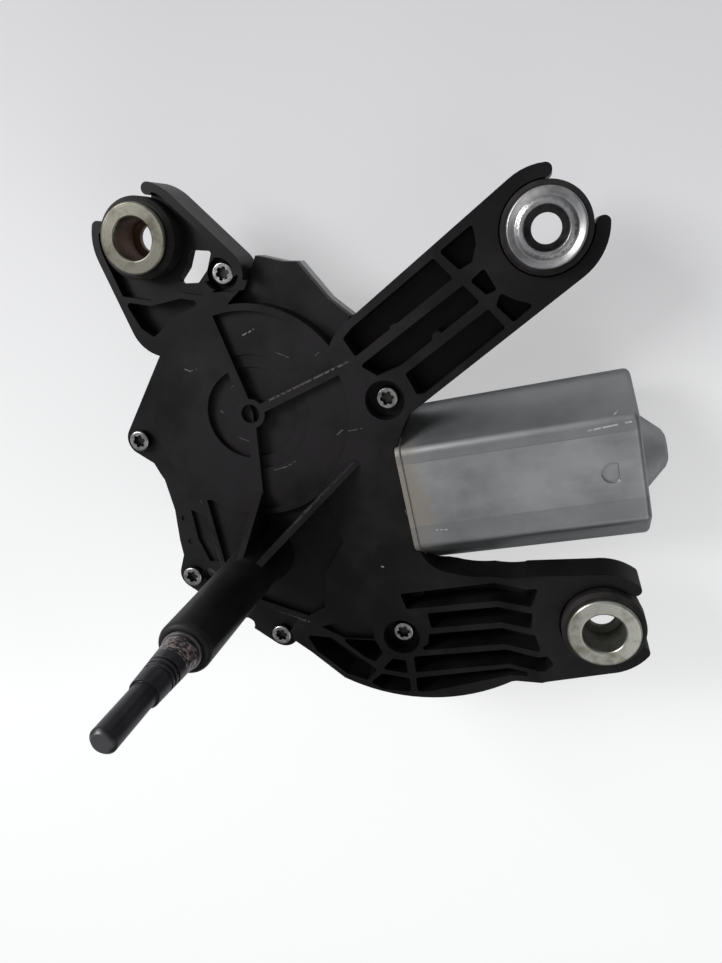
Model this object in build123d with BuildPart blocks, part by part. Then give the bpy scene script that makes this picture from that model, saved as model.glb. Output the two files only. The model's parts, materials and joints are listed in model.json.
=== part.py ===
from build123d import *
from math import acos, atan2, cos, degrees, hypot, pi, radians, sin, tan
import os

os.makedirs("parts", exist_ok=True)

# Millimetres. The origin is on the spindle axis, at the shoulder where the threaded end begins.
# +Z points out along the spindle, +X along the motor towards the closed end of its can.

# Levels, counted down from the spindle's shoulder
sleeve_rise = 97.5          # shoulder to the outer face of the gear housing
crown_height = 10.1         # outer face to the joint between housing and back case
gasket_thick = 0.8
worm_depth = 10.1           # joint to the worm's axis
ear_drop = 7.0              # outer face to the seats of the six case screws
arm_depth = 15.0            # height of the arms' side walls
case_wall = 3.0

# Output spindle and its sleeve
spindle_d = 10.0
spindle_end_d = 8.0
spindle_end_length = 21.9
cone_small_d = 9.5
cone_large_d = 12.0
cone_length = 22.2
sleeve_gap = 23.9           # shoulder to the mouth of the sleeve
sleeve_mouth_d = 18.0
sleeve_base_d = 19.0
bush_wall = 1.9
bush_length = 14.0
running_gap = 0.05          # radial play of a plain bearing
small_gap = 0.3             # clearance between pieces that pass each other

# Worm drive
worm_y = 14.5
wheel_x = 9.1
wheel_module = 1.5
wheel_teeth = 48
worm_pitch_r = 6.1
wheel_thick = 9.0
wheel_axle_d = 8.0
worm_length = 34.0

# Crank, toothed link, strap and spindle pinion
crank_r = 10.0
crank_pin_d = 6.0
crank_angle = 18.0          # of the crank pin from +X, at mid sweep
link_module = 1.25
link_backlash = 0.6
pinion_teeth = 14
sector_teeth = 28           # on the full circle; the link carries the few that it needs
sector_kept = 7
link_thick = 4.0
strap_thick = 2.0
rod_length = 51.0
rod_width = 9.0

# Motor
can_length = 84.5
can_mouth_x = 60.5
can_height = 44.0
can_width = 66.0
can_flat = 37.7
can_wall = 1.6
neck_length = 14.0
nose_length = 9.0
nose_base_d = 29.0
nose_tip_d = 11.3
shaft_d = 6.0
core_d = 37.0
core_lead = 29.5            # can's mouth to the armature's core
core_tail = 17.0            # core to the can's closed end
core_slots = 10
commutator_d = 20.0
commutator_length = 13.0
commutator_bars = 10
magnet_thick = 7.5
magnet_span = 112.0
lug_across = 30.5           # screws of the can, across and up from the motor's axis
lug_up = -14.0
lug_root = 20.0
lug_r = 5.0
can_screw_d = 4.0

# Fixings
screw_head_d = 8.3
screw_head_height = 3.0
screw_d = 4.0
screw_length = 16.0
screw_well_d = 14.5
ear_r = 6.6
arm_rim = 2.8               # rim left round the dished pad of the left arm
top_ear_r = 4.9             # smaller ear, beside the window of the left arm
screw_spots = [(-42.6, 53.2), (10.6, 108.0), (60.8, 52.7), (-37.2, -7.2), (-4.6, -37.6), (47.5, -41.1)]

# Mounting eyes: flanged bushes in rubber grommets, held in two-horned forks
bush_flange_d = 25.0
bush_flange_thick = 2.0
bush_tube_d = 17.2
bush_bore_d = 14.5
bush_low_bore_d = 10.0
mount_bush_length = 17.0
grommet_d = 29.0
grommet_web_d = 22.5        # rubber left between the grooves' walls
fork_plate = 4.5            # thickness of the plate that sits in the grommet's groove
fork_r = 19.6
fork_opening = 90.0
left_eye = (-15.0, 126.1)
top_eye = (124.2, 98.0)
low_eye = (123.6, -39.2)
eye_rise = 6.0              # bush flange above the outer face, left and top eyes
low_eye_rise = 14.0         # the lower right eye stands higher

face_z = -sleeve_rise
joint_z = face_z - crown_height
case_top_z = joint_z - gasket_thick
worm_z = case_top_z - worm_depth
rest_z = worm_z - can_height / 2
seat_z = face_z - ear_drop
core_start = can_mouth_x + core_lead
core_length = can_length - core_lead - core_tail
arm_low_z = face_z - arm_depth
wheel_pitch_r = wheel_module * wheel_teeth / 2
wheel_y = worm_y + wheel_pitch_r + worm_pitch_r
wheel_axis = (wheel_x, wheel_y)
wheel_top = worm_z + wheel_thick / 2
wheel_low = worm_z - wheel_thick / 2
sleeve_mouth_z = -sleeve_gap
pinion_r = link_module * pinion_teeth / 2
sector_r = link_module * sector_teeth / 2
sector_root_r = sector_r - 1.25 * link_module
strap_length = pinion_r + sector_r
worm_tip_r = worm_pitch_r + wheel_module
link_low = worm_z + worm_tip_r + 0.6
link_top = link_low + link_thick
pinion_top = link_top + 0.7
strap_low = pinion_top + 0.25
strap_top = strap_low + strap_thick


def polar(radius, angle, centre=(0, 0)):
    return (centre[0] + radius * cos(radians(angle)), centre[1] + radius * sin(radians(angle)))


def heading(start, end):
    return degrees(atan2(end[1] - start[1], end[0] - start[0]))


# Where the linkage stands at mid sweep: the link's pivot lies where the strap and the rod meet.
crank_spot = polar(crank_r, crank_angle, wheel_axis)
crank_reach = hypot(*crank_spot)
pivot_turn = degrees(acos((strap_length**2 + crank_reach**2 - rod_length**2) / (2 * strap_length * crank_reach)))
strap_angle = heading((0, 0), crank_spot) - pivot_turn
pivot_spot = polar(strap_length, strap_angle)
rod_angle = heading(pivot_spot, crank_spot)


def finish(piece, name):
    piece.part.label = name
    export_step(piece.part, f"parts/{name}.step")
    print(f"{name}: {len(piece.part.solids())} solid(s), {piece.part.volume / 1000:.2f} cm3")


def gear_outline(teeth, module, backlash, kept=None):
    """Gear outline about the origin, first tooth on +X, added to the sketch in progress."""
    pitch = module * teeth / 2
    root = pitch - 1.25 * module
    tip = pitch + module
    step = 360 / teeth
    half = degrees((pi * module / 4 - backlash / 2) / pitch)
    count = kept or teeth
    Circle(root)
    spread = degrees(tan(radians(20)) * module / pitch)
    low = half + spread * 1.25
    high = half - spread
    for number in range(count):
        turn = (number - (count - 1) / 2 if kept else number) * step
        Polygon(
            polar(root - 0.3, turn - low),
            polar(root, turn - low),
            polar(pitch, turn - half),
            polar(tip, turn - high),
            polar(tip, turn + high),
            polar(pitch, turn + half),
            polar(root, turn + low),
            polar(root - 0.3, turn + low),
            align=None,
        )


def hull_of(*discs):
    """The tight outline round some discs, each given by its centre and radius."""
    with BuildSketch() as shape:
        for centre, radius in discs:
            with Locations(centre):
                Circle(radius)
        make_hull()
    return shape.sketch


# Gear housing: outlines shared by the housing, the gasket and the back case
with BuildSketch() as body_outline:
    for ear, radius, centre, body_r in (
        (screw_spots[0], ear_r, wheel_axis, 43.5),
        (screw_spots[1], top_ear_r, wheel_axis, 43.5),
        (screw_spots[2], ear_r, (20, 40), 41.0),
        (screw_spots[3], ear_r, (2, 8), 34.0),
        (screw_spots[4], ear_r, (4, 6), 34.0),
        (screw_spots[5], ear_r, (24, 4), 38.0),
    ):
        add(hull_of((ear, radius), (centre, body_r)))
    add(hull_of((screw_spots[3], ear_r), (screw_spots[4], ear_r), ((2, 8), 20)))
    # ledge between the left and the upper arm, and the straight edge down the left side
    Polygon((16, 100), (23.5, 111.5), (32.8, 107.4), (38.1, 106.2), (46.4, 91.4), (53.1, 83.8), (30, 56), align=None)
    Polygon(
        (-42, 47), (-39.4, 38.3), (-38.2, 35.1), (-37.7, 21.9), (-39.5, 8.7), (-40, -1.8), (-10, 0), (0, 40), align=None
    )

# Rooms inside: over the wheel and over all that the linkage sweeps
strap_swing = 22.0
pivot_spots = [polar(strap_length, strap_angle + turn) for turn in (-strap_swing, 0, strap_swing)]
wheel_room = (wheel_axis, wheel_pitch_r + wheel_module + 1.0)
gear_room = hull_of(wheel_room, ((0, 0), 16.5), *[(spot, 16.5) for spot in pivot_spots])
linkage_room = hull_of(((0, 0), 12), *[(spot, 8.0) for spot in pivot_spots])

drum_r = 40.5
with BuildSketch() as crown_outline:
    with Locations(wheel_axis):
        Circle(drum_r)
    with BuildLine():
        left = Line((-20.6, 30), (-20.6, -6))
        low = Line((-7.6, -21.8), (11.2, -30.9))
        Spline(left @ 1, low @ 0, tangents=[left % 1, low % 0])
        Polyline(low @ 1, (36, -42), (58, -42), (60.2, -20), (60.2, 60), (40, 70), (-20.6, 70), left @ 0)
    make_face()


def can_section(grow):
    """Flat-sided section of the can about the motor axis, across in x and up in y."""
    half_flat = can_flat / 2 + grow * 0.5
    half_high = can_height / 2 + grow
    half_wide = can_width / 2 + grow
    with BuildSketch() as section:
        Polygon(
            (half_flat, half_high), (half_wide, 0), (half_flat, -half_high),
            (-half_flat, -half_high), (-half_wide, 0), (-half_flat, half_high), align=None,
        )
        wide = section.vertices().filter_by(lambda v: abs(v.Y) < 1)
        fillet(wide, 11 + grow)
        fillet(section.vertices().filter_by(lambda v: abs(v.Y) > half_high - 0.1), 3.5 + grow)
    return section.sketch


def motor_plane(x):
    return Plane(origin=(x, worm_y, worm_z), x_dir=(0, 1, 0), z_dir=(1, 0, 0))


def motor_section(grow):
    """The can's section with a lug low on each side, for the screws into the case's neck."""
    with BuildSketch() as section:
        add(can_section(grow))
        for side in (1, -1):
            add(hull_of(((side * lug_across, lug_up), lug_r + grow), ((side * lug_root, lug_up + 6), lug_r + grow)))
    return section.sketch


left_arm_outline = hull_of((left_eye, fork_r), ((-14.5, 97.5), 14.6), (screw_spots[1], 9.4))
left_arm_inside = offset(left_arm_outline, amount=-arm_rim)
top_arm_angle = 28.0
top_arm_root = polar(-71.0, top_arm_angle, top_eye)
top_arm_outline = hull_of((top_eye, fork_r), (top_arm_root, fork_r))

with BuildSketch() as low_arm_outline:
    with BuildLine():
        upper = Polyline((30, -3.5), (61.8, -3.5))
        neck = ThreePointArc(upper @ 1, (64.5, -11.5), (72.3, -16.3))
        bank = ThreePointArc(neck @ 1, (86, -19.4), (100, -17.6))
        Polyline(bank @ 1, (low_eye[0], low_eye[1] + fork_r))
        Line((low_eye[0], low_eye[1] + fork_r), (low_eye[0], low_eye[1] - fork_r))
        Polyline((low_eye[0], low_eye[1] - fork_r), (100.5, -60.6), (89, -63.2))
        belly = ThreePointArc((89, -63.2), (54, -69.0), (20, -57.2))
        tail = Polyline(belly @ 1, (8.7, -44.5), (0, -36), (30, -3.5))
    make_face()
    with Locations(low_eye):
        Circle(fork_r)

low_pad_z = face_z + 7.5
ramp_start_x = 87.0
ramp_end_x = 99.0
low_arm_lift = low_pad_z - face_z
with BuildPart() as low_arm:
    with BuildSketch(Plane.XY.offset(arm_low_z)):
        add(low_arm_outline.sketch)
    extrude(amount=arm_depth + low_arm_lift)
    with BuildSketch(Plane.XZ):
        Polygon(
            (-10, arm_low_z),
            (ramp_start_x, arm_low_z),
            (ramp_end_x, arm_low_z + low_arm_lift),
            (160, arm_low_z + low_arm_lift),
            (160, low_pad_z),
            (ramp_end_x, low_pad_z),
            (ramp_start_x, face_z),
            (-10, face_z),
            align=None,
        )
    extrude(amount=100, both=True, mode=Mode.INTERSECT)


def gusset(angle, foot, height, thick=2.6):
    """A web that stands on the face and rises against the sleeve."""
    out = (cos(radians(angle)), sin(radians(angle)), 0)
    side = (sin(radians(angle)), -cos(radians(angle)), 0)
    with BuildSketch(Plane(origin=(0, 0, face_z - 2), x_dir=out, z_dir=side)) as web:
        Polygon((7, 0), (foot, 0), (foot, 2.2), (7, height + 2), align=None)
    extrude(web.sketch, amount=thick / 2, both=True)


flange_notches = [(-30.6, -8.4), (-19.6, -32.6)]
flange_notch_r = 3.0
rib_wall = 2.2
channel_depth = 12.5
arm_floor_z = face_z - channel_depth
groove_drop = 8.0           # bush flange's underside to the fork's plate
hub_r = 5.6
horn_r = 2.2
recess_r = 17.2
recess_depth = 2.5
dish_steps = ((38.0, 2.6), (22.0, 3.5), (recess_r, 4.4))
dish_sector = [polar(70, angle, wheel_axis) for angle in (-99, -40, 15, 60, 99)]
hub_rib = 3.4
well_depth = 2.5
well_corners = [(-18.4, 26), (-18.4, -4), (-6.6, -19.2), (11.6, -28.2), (19, -25), (23, -10), (33, 1), (31, 20)]
rib_ends = ((2.2, 96.9), (52.0, 68.0), (0.0, 0.0))
gear_ceiling = link_top + 0.8
linkage_ceiling = face_z - 4.4
eye_specs = [
    (left_eye, heading(wheel_axis, left_eye), face_z + eye_rise),
    (top_eye, 38.0, face_z + eye_rise),
    (low_eye, 0.0, face_z + low_eye_rise),
]
channels = [
    [(50.6, -22.6), (88, -22.0), (103.5, -22.6), (100, -29.4), (52, -29.4)],
    [(59.6, -31.9), (100, -31.9), (98.5, -38.4), (60, -38.4)],
    [(58.4, -40.8), (99.5, -40.8), (100.5, -47.7), (52, -47.7), (57.5, -45.0)],
    [(50.5, -50.1), (102.5, -50.1), (104.5, -53.6), (101, -56.0), (50.0, -57.2)],
    [(49.5, -59.6), (101.0, -57.6), (88.5, -61.0), (54, -66.2), (49.0, -66.0)],
    [(47.0, -59.6), (46.4, -65.8), (35, -63.8), (30.5, -60.2), (36, -56.6)],
    [(47.0, -51.6), (46.8, -57.4), (36.5, -54.6), (42, -50.2)],
    [(8.5, -36.6), (18.4, -38.6), (34.5, -54.6), (29.6, -59.2), (21.5, -55.4), (11, -44.0)],
    [(22.5, -39.4), (36.6, -41.6), (38.4, -47.4), (34.6, -51.0), (30.5, -48.5)],
]
channels += [
    [(54.5, 80.0), (50.6, 77.0), (53.6, 69.8), (92.4, 89.1), (87.1, 96.8)],
    [(89.4, 98.3), (94.8, 91.2), (99.4, 92.8), (101.7, 98.1), (101.6, 104.6)],
    [(54.6, 66.4), (60.1, 61.8), (68.8, 63.7), (99.8, 79.7), (95.2, 86.2)],
    [(97.7, 87.0), (102.1, 81.5), (105.9, 82.3), (102.9, 90.1)],
    [(70.0, 60.7), (72.6, 52.8), (75.4, 52.6), (106.7, 69.6), (102.0, 76.9)],
    [(104.7, 77.3), (109.5, 70.9), (117.0, 75.2), (111.4, 77.9), (106.7, 81.2)],
]
rib_nodes = [(69.8, 76.4), (83.7, 70.9)]
fork_plate_top = face_z + eye_rise - bush_flange_thick - groove_drop

with BuildPart() as housing_cuts:
    # channels between the ribs of the two long arms
    with BuildSketch(Plane.XY.offset(arm_floor_z)) as channel_floor:
        for corners in channels:
            with BuildLine():
                Polyline(*corners, close=True)
            make_face()
        fillet(channel_floor.vertices(), 0.9)
    extrude(amount=30)
    # the lower arm's channels climb with its underside
    with BuildSketch(Plane.XZ):
        Polygon(
            (ramp_start_x - 3, arm_floor_z - 1),
            (ramp_start_x - 3, arm_floor_z),
            (ramp_end_x - 3, arm_floor_z + low_arm_lift),
            (160, arm_floor_z + low_arm_lift),
            (160, arm_floor_z - 1),
            align=None,
        )
    extrude(amount=90, mode=Mode.SUBTRACT)
    # left arm: crescent pocket at its root, dished pad, thin plate under it and the window beside its screw
    with BuildSketch(Plane.XY.offset(face_z - 6.5)) as root_pocket:
        Polygon(
            (-28.6, 106.2), (-18.5, 102.6), (-5.9, 102.8), (2.6, 99.8),
            (-10.3, 97.0), (-20.8, 91.4), (-25.0, 95.6), align=None,
        )
        fillet(root_pocket.vertices(), 1.2)
    extrude(amount=20)
    with BuildSketch(Plane.XY.offset(face_z - 4.0)):
        Polygon(
            (-45, 113), (-29.1, 108.4), (-18.5, 104.6), (-5.9, 104.8), (3.0, 102.0),
            (4.6, 106), (12, 118), (0, 140), (-45, 150), align=None,
        )
        add(left_arm_inside, mode=Mode.INTERSECT)
    extrude(amount=12)
    with BuildSketch(Plane.XY.offset(arm_low_z - 1)):
        add(left_arm_inside)
        offset(body_outline.sketch, amount=2.5, mode=Mode.SUBTRACT)
    extrude(amount=fork_plate_top - fork_plate - arm_low_z + 1)
    with BuildSketch(Plane.XY.offset(arm_low_z - 1)) as window:
        Polygon((0.9, 118.5), (8.7, 116.4), (5.3, 110.4), (0.6, 106.7), (-8.1, 108.2), (-2.5, 112.8), align=None)
        fillet(window.vertices(), 0.9)
    extrude(amount=30)
    with BuildSketch(Plane.XY.offset(face_z - 5.0)):
        Polygon((6.5, 102.4), (14.2, 101.0), (21.5, 100.6), (17.6, 106.4), align=None)
    extrude(amount=12)
    # lowered floor round the sleeve's foot, between the wheel's drum and the edge rib
    with BuildSketch(Plane.XY.offset(face_z - well_depth)):
        Polygon(*well_corners, align=None)
        with Locations(wheel_axis):
            Circle(drum_r - 0.5, mode=Mode.SUBTRACT)
    extrude(amount=well_depth + 1)
    with BuildSketch(Plane.XY.offset(face_z - 2.5)):
        Polygon((15.8, -33.6), (21.7, -32.3), (36.6, -36.0), (36.4, -41.0), (24.3, -39.4), align=None)
    extrude(amount=4)
    # pocket, marks and notches in the flange at the left
    with BuildSketch(Plane.XY.offset(seat_z - 1.8)):
        Polygon((-30.5, 21.0), (-23.4, 16), (-22.4, -3), (-28.6, -2.4), (-31.0, 8), align=None)
    extrude(amount=1.8)
    with BuildSketch(Plane.XY.offset(seat_z - 0.6)):
        with Locations((-34.7, 17.9), (-34.7, 7.6)):
            Circle(1.2)
    extrude(amount=0.6)
    with BuildSketch(Plane.XY.offset(joint_z - 1)):
        with Locations(*flange_notches):
            Circle(flange_notch_r)
    extrude(amount=seat_z - joint_z + 1)
    # ears and wells of the case screws
    with BuildSketch(Plane.XY.offset(seat_z)):
        with Locations(*[screw_spots[n] for n in (0, 3, 4)]):
            Circle(ear_r + 0.4)
        with Locations(screw_spots[2], screw_spots[5]):
            Circle(screw_well_d / 2)
        with Locations(screw_spots[1]):
            Circle(screw_well_d / 2 - 1.5)
    extrude(amount=crown_height)
    with BuildSketch(Plane.XY.offset(joint_z - 1)):
        with Locations(*screw_spots):
            Circle(screw_d / 2 + 0.25)
    extrude(amount=seat_z - joint_z + 2)

spindle_hole_r = spindle_d / 2 + 0.5
bearing_seat_r = spindle_d / 2 + running_gap + bush_wall
low_bush_top = linkage_ceiling + bush_length
high_bush_low = sleeve_mouth_z - bush_length - 3.0
with BuildPart() as fork_cuts:
    for spot, facing, flange_z in eye_specs:
        with BuildSketch(Plane.XY.offset(arm_low_z - 5)):
            with Locations(spot):
                Circle(grommet_d / 2 + 0.7)
            Polygon(
                spot,
                polar(40, facing - fork_opening / 2, spot),
                polar(56, facing, spot),
                polar(40, facing + fork_opening / 2, spot),
                align=None,
            )
        extrude(amount=60)
        plate_top = flange_z - bush_flange_thick - groove_drop
        with BuildSketch(Plane.XY.offset(plate_top - fork_plate)):
            with Locations(spot):
                Circle(grommet_d / 2 + 1.5)
                Circle(grommet_web_d / 2 + small_gap, mode=Mode.SUBTRACT)
            Polygon(
                spot,
                polar(40, facing - fork_opening / 2, spot),
                polar(56, facing, spot),
                polar(40, facing + fork_opening / 2, spot),
                align=None,
                mode=Mode.SUBTRACT,
            )
        extrude(amount=fork_plate, mode=Mode.SUBTRACT)

with BuildPart() as gear_housing:
    # flange with the screw ears, then the raised crown over the gears
    with BuildSketch(Plane.XY.offset(joint_z)):
        add(body_outline.sketch)
    extrude(amount=seat_z - joint_z)
    with BuildSketch(Plane.XY.offset(joint_z)):
        add(crown_outline.sketch)
        add(left_arm_outline)
        Polygon((56, 33), (61.8, 35.9), (65.9, 42.8), (70, 48.3), (70, 58), (56, 60), align=None)
        with Locations(screw_spots[1], screw_spots[2], screw_spots[5]):
            Circle(screw_well_d / 2 + rib_wall)
    extrude(amount=crown_height)
    # arms hang lower than the joint, clear of the back case
    with BuildSketch(Plane.XY.offset(arm_low_z)):
        add(top_arm_outline)
        add(left_arm_outline)
        offset(body_outline.sketch, amount=small_gap, mode=Mode.SUBTRACT)
    extrude(amount=joint_z - arm_low_z)
    with BuildSketch(Plane.XY.offset(joint_z)):
        add(top_arm_outline)
    extrude(amount=crown_height)
    add(low_arm.part)
    with BuildSketch(Plane.XY.offset(arm_low_z - 1)):
        offset(body_outline.sketch, amount=small_gap)
    extrude(amount=joint_z - arm_low_z + 1, mode=Mode.SUBTRACT)
    with BuildSketch(motor_plane(can_mouth_x - small_gap)):
        add(motor_section(0.6 + small_gap))
    extrude(amount=can_length, mode=Mode.SUBTRACT)
    with BuildSketch(Plane.XY.offset(arm_low_z - 1)):
        with Locations((can_mouth_x - neck_length / 2, worm_y)):
            Rectangle(neck_length + 1, can_width + 2)
    extrude(amount=joint_z - arm_low_z + 1, mode=Mode.SUBTRACT)
    # cover over the worm wheel: lower on two sides of its ribs, and stepped down towards its hub
    for radius, depth in dish_steps:
        with BuildSketch(Plane.XY.offset(face_z)):
            with Locations(wheel_axis):
                Circle(radius)
            Polygon(wheel_axis, *dish_sector, align=None, mode=Mode.INTERSECT)
        extrude(amount=-depth, mode=Mode.SUBTRACT)
    with BuildSketch(Plane.XY.offset(face_z)):
        with Locations(wheel_axis):
            Circle(recess_r)
    extrude(amount=-recess_depth, mode=Mode.SUBTRACT)
    add(housing_cuts.part, mode=Mode.SUBTRACT)
    with BuildSketch(Plane.XY.offset(face_z - dish_steps[-1][1] - 0.4)):
        for end in rib_ends:
            length = hypot(end[0] - wheel_x, end[1] - wheel_y)
            angle = heading(wheel_axis, end)
            with Locations(Location(polar(length / 2, angle, wheel_axis), angle)):
                Rectangle(length, hub_rib)
        with Locations(wheel_axis):
            Circle(hub_r)
            Circle(3.6, mode=Mode.SUBTRACT)
    extrude(amount=dish_steps[-1][1] + 0.4)
    # sleeve with its gussets
    with BuildSketch(Plane.XZ) as sleeve_half:
        with BuildLine():
            Polyline(
                (0, linkage_ceiling),
                (sleeve_base_d / 2 + 1.5, linkage_ceiling),
                (sleeve_base_d / 2 + 1.5, face_z + 1),
                (sleeve_base_d / 2, face_z + 6),
                (sleeve_mouth_d / 2, sleeve_mouth_z),
                (0, sleeve_mouth_z),
                close=True,
            )
        make_face()
        fillet(sleeve_half.vertices().group_by(Axis.Y)[-1].sort_by(Axis.X)[-1], 2.2)
    revolve(axis=Axis.Z)
    gusset(35.0, 56.0, 25.0)
    gusset(heading((0, 0), wheel_axis), 26.0, 28.0, 2.8)
    # inside: room for the gears and for the linkage
    with BuildSketch(Plane.XY.offset(joint_z - 1)):
        add(gear_room)
    extrude(amount=gear_ceiling - joint_z + 1, mode=Mode.SUBTRACT)
    with BuildSketch(Plane.XY.offset(joint_z - 1)):
        add(linkage_room)
    extrude(amount=linkage_ceiling - joint_z + 1, mode=Mode.SUBTRACT)
    add(fork_cuts.part, mode=Mode.SUBTRACT)
    # rounded ends of the forks, and the thickened spots on the upper arm's ribs
    for spot, facing, flange_z in eye_specs:
        horn_top = low_pad_z if spot == low_eye else face_z
        with BuildSketch(Plane.XY.offset(horn_top - arm_depth)):
            for side in (1, -1):
                with Locations(polar(fork_r - horn_r, facing + side * fork_opening / 2, spot)):
                    Circle(horn_r)
        extrude(amount=arm_depth)
    with BuildSketch(Plane.XY.offset(arm_floor_z)):
        with Locations(*rib_nodes):
            Circle(2.0)
    extrude(amount=channel_depth)
    # spindle's bore, with a bearing seat at each end
    with BuildSketch(Plane.XZ):
        with BuildLine():
            Polyline(
                (0, joint_z),
                (bearing_seat_r, joint_z),
                (bearing_seat_r, low_bush_top),
                (spindle_hole_r, low_bush_top),
                (spindle_hole_r, high_bush_low),
                (bearing_seat_r, high_bush_low),
                (bearing_seat_r, sleeve_mouth_z + 1),
                (0, sleeve_mouth_z + 1),
                close=True,
            )
        make_face()
    revolve(axis=Axis.Z, mode=Mode.SUBTRACT)
finish(gear_housing, "gear_housing")

# Spindle sleeve: bearings, seal and clip
with BuildPart() as low_bush:
    with BuildSketch(Plane.XY.offset(linkage_ceiling)):
        Circle(bearing_seat_r)
        Circle(spindle_d / 2 + running_gap, mode=Mode.SUBTRACT)
    extrude(amount=bush_length)
finish(low_bush, "spindle_bush_inner")

with BuildPart() as high_bush:
    with BuildSketch(Plane.XY.offset(high_bush_low)):
        Circle(bearing_seat_r)
        Circle(spindle_d / 2 + running_gap, mode=Mode.SUBTRACT)
    extrude(amount=bush_length)
finish(high_bush, "spindle_bush_outer")

seal_thick = 2.6
with BuildPart() as seal:
    with BuildSketch(Plane.XY.offset(high_bush_low + bush_length)):
        Circle(bearing_seat_r)
        Circle(spindle_d / 2 + 0.15, mode=Mode.SUBTRACT)
    extrude(amount=seal_thick)
finish(seal, "spindle_seal")

clip_thick = 1.0
clip_low = sleeve_mouth_z + small_gap
with BuildPart() as clip:
    with BuildSketch(Plane.XY.offset(clip_low)):
        Circle(6.6)
        Circle(spindle_d / 2 - 0.6, mode=Mode.SUBTRACT)
        with Locations((-6, 0)):
            Rectangle(8, 4.4, mode=Mode.SUBTRACT)
    extrude(amount=clip_thick)
finish(clip, "spindle_clip")

# Output spindle: plain in its bearings, a knurled cone for the wiper arm, then the threaded end
groove_z = (-7.4, -9.4, -11.4)
with BuildPart() as spindle:
    with BuildSketch(Plane.XZ):
        with BuildLine():
            Polyline(
                (0, link_low),
                (spindle_d / 2 - 1.0, link_low),
                (spindle_d / 2 - 1.0, pinion_top),
                (spindle_d / 2, pinion_top),
                (spindle_d / 2, clip_low),
                (spindle_d / 2 - 0.6, clip_low),
                (spindle_d / 2 - 0.6, clip_low + clip_thick),
                (cone_large_d / 2, -cone_length),
                (cone_small_d / 2, 0),
                (spindle_end_d / 2, 0),
                (spindle_end_d / 2, spindle_end_length - 1.2),
                (spindle_end_d / 2 - 1.2, spindle_end_length),
                (0, spindle_end_length),
                close=True,
            )
        make_face()
    revolve(axis=Axis.Z)
    for z in groove_z:
        with BuildSketch(Plane.XY.offset(z)):
            Circle(7)
            Circle(4.6, mode=Mode.SUBTRACT)
        extrude(amount=0.8, mode=Mode.SUBTRACT)
finish(spindle, "output_spindle")

with BuildPart() as pinion:
    mesh_turn = strap_angle + 180 / pinion_teeth
    with BuildSketch(Plane(origin=(0, 0, link_low), x_dir=(*polar(1, mesh_turn), 0))):
        gear_outline(pinion_teeth, link_module, link_backlash)
        Circle(spindle_d / 2 - 1.0, mode=Mode.SUBTRACT)
    extrude(amount=pinion_top - link_low)
finish(pinion, "spindle_pinion")

with BuildPart() as thrust_washer:
    with BuildSketch(Plane.XY.offset(strap_top + small_gap)):
        Circle(8.2)
        Circle(spindle_d / 2, mode=Mode.SUBTRACT)
    extrude(amount=linkage_ceiling - strap_top - 2 * small_gap)
finish(thrust_washer, "spindle_washer")

# Linkage: the toothed link, its strap and its pivot pin
eye_bore_r = crank_pin_d / 2 + 0.2
pivot_d = 6.0
with BuildPart() as link:
    with BuildSketch(Plane(origin=(pivot_spot[0], pivot_spot[1], link_low), x_dir=(*polar(1, strap_angle + 180), 0))):
        gear_outline(sector_teeth, link_module, link_backlash, kept=sector_kept)
        Polygon((-3, 0), polar(40, 66), polar(40, 180), polar(40, -66), align=None, mode=Mode.SUBTRACT)
        Circle(7.5)
        Polygon(
            (0, 0), polar(sector_root_r, -44), polar(sector_root_r, -20), polar(sector_root_r, 20),
            polar(sector_root_r, 44), align=None,
        )
    extrude(amount=link_thick)
    with BuildSketch(Plane.XY.offset(link_low)):
        with Locations(crank_spot):
            Circle(rod_width / 2 + 2.0)
        middle = ((crank_spot[0] + pivot_spot[0]) / 2, (crank_spot[1] + pivot_spot[1]) / 2)
        with Locations(Location(middle, rod_angle)):
            Rectangle(rod_length, rod_width)
    extrude(amount=link_thick)
    with BuildSketch(Plane.XY.offset(link_low)):
        with Locations(crank_spot):
            Circle(eye_bore_r)
        with Locations(pivot_spot):
            Circle(pivot_d / 2)
    extrude(amount=link_thick, mode=Mode.SUBTRACT)
finish(link, "toothed_link")

rivet_top = linkage_ceiling - small_gap
with BuildPart() as pivot_pin:
    with BuildSketch(Plane.XY.offset(link_low)):
        with Locations(pivot_spot):
            Circle(pivot_d / 2)
    extrude(amount=strap_top + 0.2 - link_low)
    with BuildSketch(Plane.XY.offset(strap_top + 0.2)):
        with Locations(pivot_spot):
            Circle(pivot_d / 2 + 1.6)
    extrude(amount=rivet_top - strap_top - 0.2)
finish(pivot_pin, "link_pivot_pin")

with BuildPart() as strap:
    with BuildSketch(Plane.XY.offset(strap_low)):
        with Locations((0, 0)):
            Circle(9.0)
        with Locations(pivot_spot):
            Circle(6.5)
        make_hull()
        Circle(spindle_d / 2 + running_gap, mode=Mode.SUBTRACT)
        with Locations(pivot_spot):
            Circle(pivot_d / 2 + running_gap, mode=Mode.SUBTRACT)
    extrude(amount=strap_thick)
finish(strap, "link_strap")

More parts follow.
